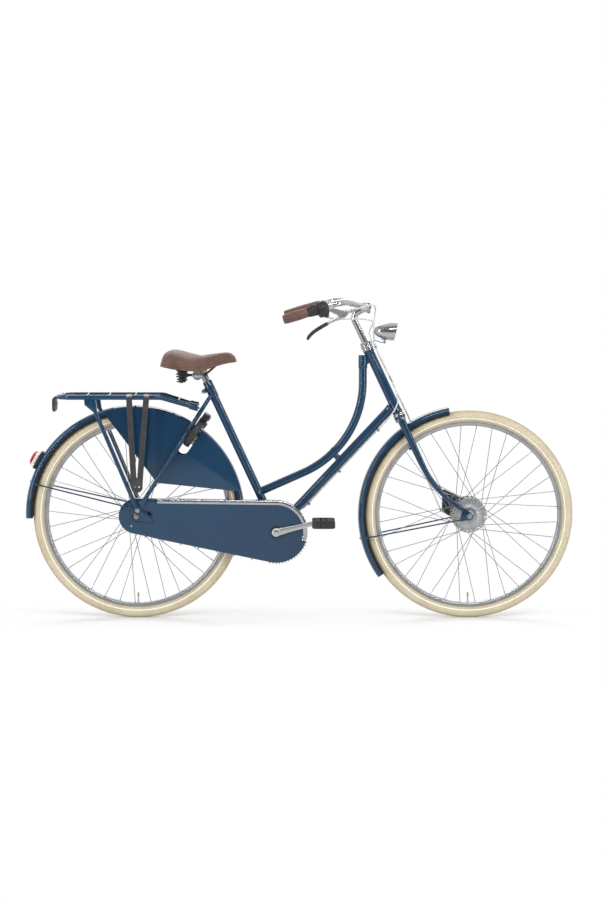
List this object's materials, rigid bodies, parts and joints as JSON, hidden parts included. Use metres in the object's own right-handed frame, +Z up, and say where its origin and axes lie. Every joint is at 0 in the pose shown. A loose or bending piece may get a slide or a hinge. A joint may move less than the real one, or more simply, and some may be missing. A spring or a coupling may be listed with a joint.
{
  "type": "dutch city bike",
  "caption": "Upright step-through city bicycle with swept bar, closed chain case, coat guards, luggage carrier and ring lock.",
  "frame": {"origin": "on the ground, midway between the rear mudguard and the front tyre, in the middle plane of the wheels", "axes": "+X forward, +Y to the rider's left, +Z up"},
  "size_m": [1.8761, 0.5938, 1.0992],
  "materials": {
    "frame_paint": "gloss",
    "chrome": "polished",
    "alloy": "satin",
    "steel": "satin",
    "black_plastic": "matte",
    "black_rubber": "matte",
    "cream_tyre": "matte",
    "brown_leather": "satin",
    "grey_cable": "satin",
    "red_lens": "gloss",
    "clear_lens": "clear"
  },
  "bodies": {
    "frame": {"head_tube": "frame_paint", "curved_top_tube": "frame_paint", "down_tube": "frame_paint", "seat_tube": "frame_paint", "chain_stay_right": "frame_paint", "chain_stay_left": "frame_paint", "seat_stay_right": "frame_paint", "seat_stay_left": "frame_paint", "headset_upper_cup": "chrome", "rear_mudguard": "frame_paint", "rear_mudguard_stays": "frame_paint", "coat_guard_right": "frame_paint", "coat_guard_left": "frame_paint", "rear_lamp_body": "black_plastic", "rear_lamp_lens": "red_lens", "rear_carrier": "frame_paint", "luggage_strap": "black_rubber", "rear_reflector": "red_lens", "chain_case_outer": "frame_paint", "chain_case_inner": "frame_paint", "chain_case_trim": "chrome", "chain": "steel", "ring_lock_body": "black_plastic", "rear_axle": "steel", "shift_cable": "grey_cable"},
    "steering": {"fork": "frame_paint", "headset_lock_nut": "chrome", "handlebar_stem": "chrome", "handlebar": "chrome", "grip_right": "brown_leather", "grip_left": "brown_leather", "shifter_housing": "black_plastic", "brake_lever_bracket": "alloy", "headlamp_shell": "chrome", "headlamp_lens": "clear_lens", "front_mudguard": "frame_paint", "front_mudguard_stays": "frame_paint", "front_brake_unit": "black_plastic", "front_axle": "steel", "control_cables": "grey_cable"},
    "twist_sleeve": {"twist_sleeve": "black_plastic"},
    "brake_lever": {"brake_lever": "alloy"},
    "front_wheel": {"front_hub": "alloy", "front_rim": "alloy", "front_tyre": "cream_tyre"},
    "rear_wheel": {"rear_hub": "alloy", "rear_rim": "alloy", "rear_tyre": "cream_tyre"},
    "rear_sprocket": {"rear_sprocket": "steel"},
    "crankset": {"crank_spindle": "steel", "crank_right": "alloy", "crank_left": "alloy"},
    "pedal_right": {"pedal_right": "black_plastic"},
    "pedal_left": {"pedal_left": "black_plastic"},
    "seat": {"seat_post": "chrome", "saddle_clamp": "steel", "saddle_frame": "steel", "saddle_cover": "brown_leather"},
    "lock_shackle": {"lock_shackle": "chrome"},
    "kickstand": {"kickstand": "black_plastic"}
  },
  "joints": [
    {"name": "steering_turn", "type": "hinge", "parent": "frame", "child": "steering", "pos_m": [0.33748, 0, 0.70646], "axis": [-0.4266, 0, 0.9045], "range_deg": [-55, 55], "deforming": ["shift_cable"]},
    {"name": "front_wheel_spin", "type": "hinge", "parent": "steering", "child": "front_wheel", "pos_m": [0.581, 0, 0.3575], "axis": [0, 1, 0], "continuous": true},
    {"name": "rear_wheel_spin", "type": "hinge", "parent": "frame", "child": "rear_wheel", "pos_m": [-0.554, 0, 0.3575], "axis": [0, 1, 0], "continuous": true},
    {"name": "crank_spin", "type": "hinge", "parent": "frame", "child": "crankset", "pos_m": [-0.07789, 0, 0.305], "axis": [0, 1, 0], "continuous": true},
    {"name": "sprocket_spin", "type": "hinge", "parent": "frame", "child": "rear_sprocket", "pos_m": [-0.554, 0, 0.3575], "axis": [0, 1, 0], "continuous": true},
    {"name": "pedal_right_spin", "type": "hinge", "parent": "crankset", "child": "pedal_right", "pos_m": [0.08256, 0, 0.34352], "axis": [0, 1, 0], "continuous": true},
    {"name": "pedal_left_spin", "type": "hinge", "parent": "crankset", "child": "pedal_left", "pos_m": [-0.23833, 0, 0.26648], "axis": [0, 1, 0], "continuous": true},
    {"name": "brake_lever_pull", "type": "hinge", "parent": "steering", "child": "brake_lever", "pos_m": [0.14557, -0.24384, 1.04553], "axis": [-0.1951, 0.9808, 0], "range_deg": [0, 12], "stiffness_Nm_per_rad": 0.6},
    {"name": "shift_twist", "type": "hinge", "parent": "steering", "child": "twist_sleeve", "pos_m": [0.02744, -0.26734, 1.0559], "axis": [0.9408, 0.1872, 0.2827], "range_deg": [0, 100]},
    {"name": "seat_height", "type": "slide", "parent": "frame", "child": "seat", "axis": [-0.421, 0, 0.907], "range_m": [0, 0.06]},
    {"name": "lock_close", "type": "hinge", "parent": "frame", "child": "lock_shackle", "pos_m": [-0.35983, 0, 0.63661], "axis": [0.8242, 0, -0.5663], "range_deg": [0, 128]},
    {"name": "kickstand_swing", "type": "hinge", "parent": "frame", "child": "kickstand", "pos_m": [-0.10989, 0.03, 0.279], "axis": [0, -1, 0], "range_deg": [0, 97]}
  ],
  "couplings": [
    {"joint": "sprocket_spin", "follows": "crank_spin", "ratio": 2}
  ]
}
